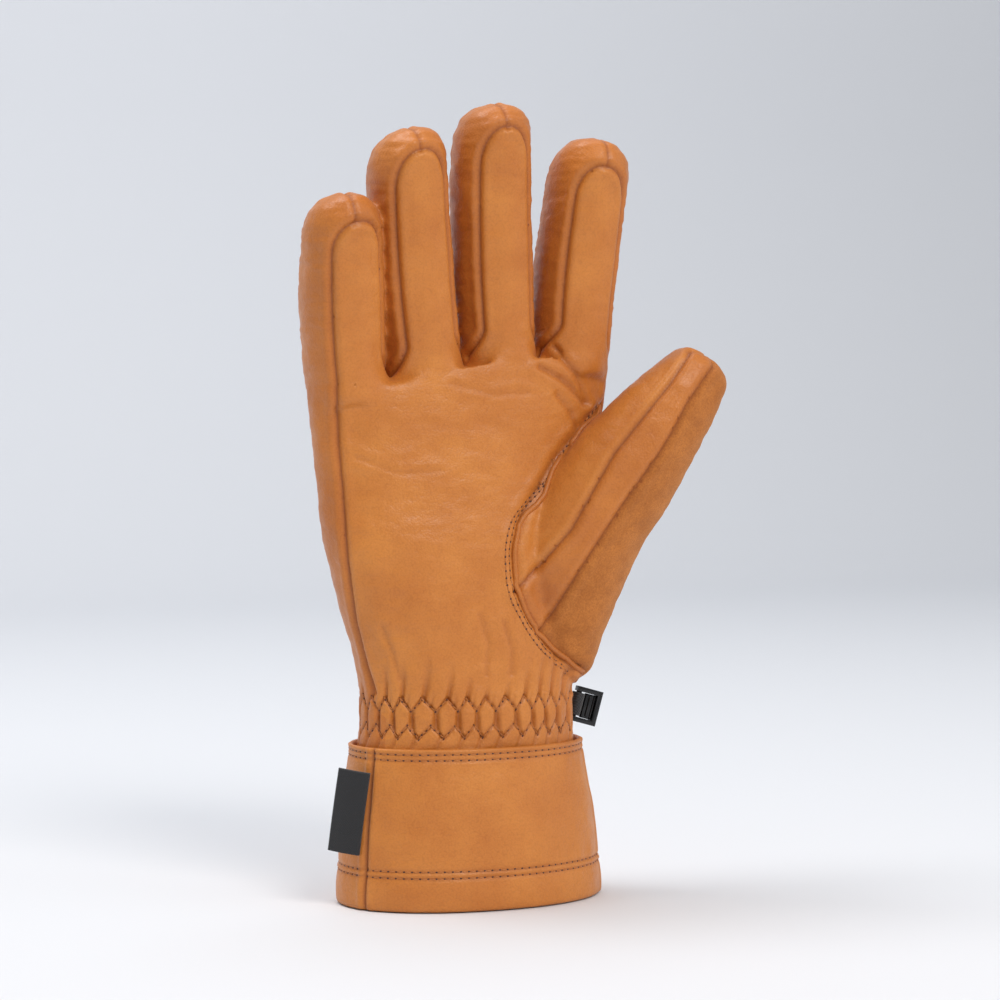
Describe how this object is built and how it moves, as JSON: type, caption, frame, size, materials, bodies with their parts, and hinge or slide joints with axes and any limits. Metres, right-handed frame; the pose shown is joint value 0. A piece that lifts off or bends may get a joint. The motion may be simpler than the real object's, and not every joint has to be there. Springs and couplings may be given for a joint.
{
  "type": "insulated leather ski glove",
  "caption": "Right-hand insulated leather ski glove with gathered elastic wrist, flared cuff, suede thumb back and a swinging pairing clip.",
  "frame": {"origin": "centre of the cuff mouth, on the plane of the hem", "axes": "+Z from the cuff towards the fingertips, -Y is the palm side, +X is the thumb side"},
  "size_m": [0.1446, 0.0704, 0.2706],
  "materials": {
    "leather": "tan full-grain goatskin, soft sheen",
    "suede": "tan suede, napped and matt",
    "insulation": "off-white polyester batting",
    "lining": "dark brushed fleece",
    "elastic": "covered woven elastic",
    "label": "black damask-woven label",
    "webbing": "black nylon webbing",
    "clip_plastic": "black moulded acetal"
  },
  "bodies": {
    "hand": {"palm_panel": "leather", "back_panel": "leather", "thumb_base_leather": "leather", "thumb_base_suede": "suede", "gusset_welt": "leather", "palm_batting": "insulation", "back_batting": "insulation", "hand_lining": "lining", "finger_crotches": "leather", "elastic_upper": "elastic", "elastic_lower": "elastic", "cuff_palm": "leather", "cuff_back": "leather", "cuff_hem": "leather", "cuff_batting": "insulation", "cuff_lining": "lining", "side_label": "label", "clip_tab": "webbing"},
    "little_finger": {"little_palm": "leather", "little_ulnar_side": "leather", "little_radial_side": "leather", "little_back": "leather", "little_batting": "insulation", "little_lining": "lining"},
    "ring_finger": {"ring_palm": "leather", "ring_ulnar_side": "leather", "ring_radial_side": "leather", "ring_back": "leather", "ring_batting": "insulation", "ring_lining": "lining"},
    "middle_finger": {"middle_palm": "leather", "middle_ulnar_side": "leather", "middle_radial_side": "leather", "middle_back": "leather", "middle_batting": "insulation", "middle_lining": "lining"},
    "index_finger": {"index_palm": "leather", "index_ulnar_side": "leather", "index_radial_side": "leather", "index_back": "leather", "index_batting": "insulation", "index_lining": "lining"},
    "thumb": {"thumb_inner": "leather", "thumb_strip": "leather", "thumb_suede": "suede", "thumb_batting": "insulation", "thumb_lining": "lining"},
    "clip": {"clip_frame": "clip_plastic"},
    "clip_tongue": {"clip_tongue": "clip_plastic"}
  },
  "joints": [
    {"name": "little_flex", "type": "hinge", "parent": "hand", "child": "little_finger", "pos_m": [-0.0447, -0.0145, 0.17525], "axis": [0.9868, 0, 0.1621], "range_deg": [0, 70], "stiffness_Nm_per_rad": 0.06},
    {"name": "ring_flex", "type": "hinge", "parent": "hand", "child": "ring_finger", "pos_m": [-0.0173, -0.0145, 0.181], "axis": [0.9689, 0, 0.2475], "range_deg": [0, 70], "stiffness_Nm_per_rad": 0.06},
    {"name": "middle_flex", "type": "hinge", "parent": "hand", "child": "middle_finger", "pos_m": [0.0101, -0.0145, 0.18625], "axis": [0.9919, 0, 0.1267], "range_deg": [0, 70], "stiffness_Nm_per_rad": 0.06},
    {"name": "index_flex", "type": "hinge", "parent": "hand", "child": "index_finger", "pos_m": [0.0375, -0.0145, 0.18575], "axis": [0.9868, 0, -0.1621], "range_deg": [0, 70], "stiffness_Nm_per_rad": 0.06},
    {"name": "thumb_flex", "type": "hinge", "parent": "hand", "child": "thumb", "pos_m": [0.04808, -0.03651, 0.14458], "axis": [0.8167, 0, -0.5771], "range_deg": [0, 35], "stiffness_Nm_per_rad": 0.08},
    {"name": "clip_swing", "type": "hinge", "parent": "hand", "child": "clip", "pos_m": [0.04125, 0.002, 0.0645], "axis": [0.2756, 0, 0.9613], "range_deg": [-55, 55]},
    {"name": "tongue_press", "type": "hinge", "parent": "clip", "child": "clip_tongue", "pos_m": [0.04461, 0.002, 0.05917], "axis": [-0.9613, 0, 0.2756], "range_deg": [0, 10], "stiffness_Nm_per_rad": 0.02}
  ]
}
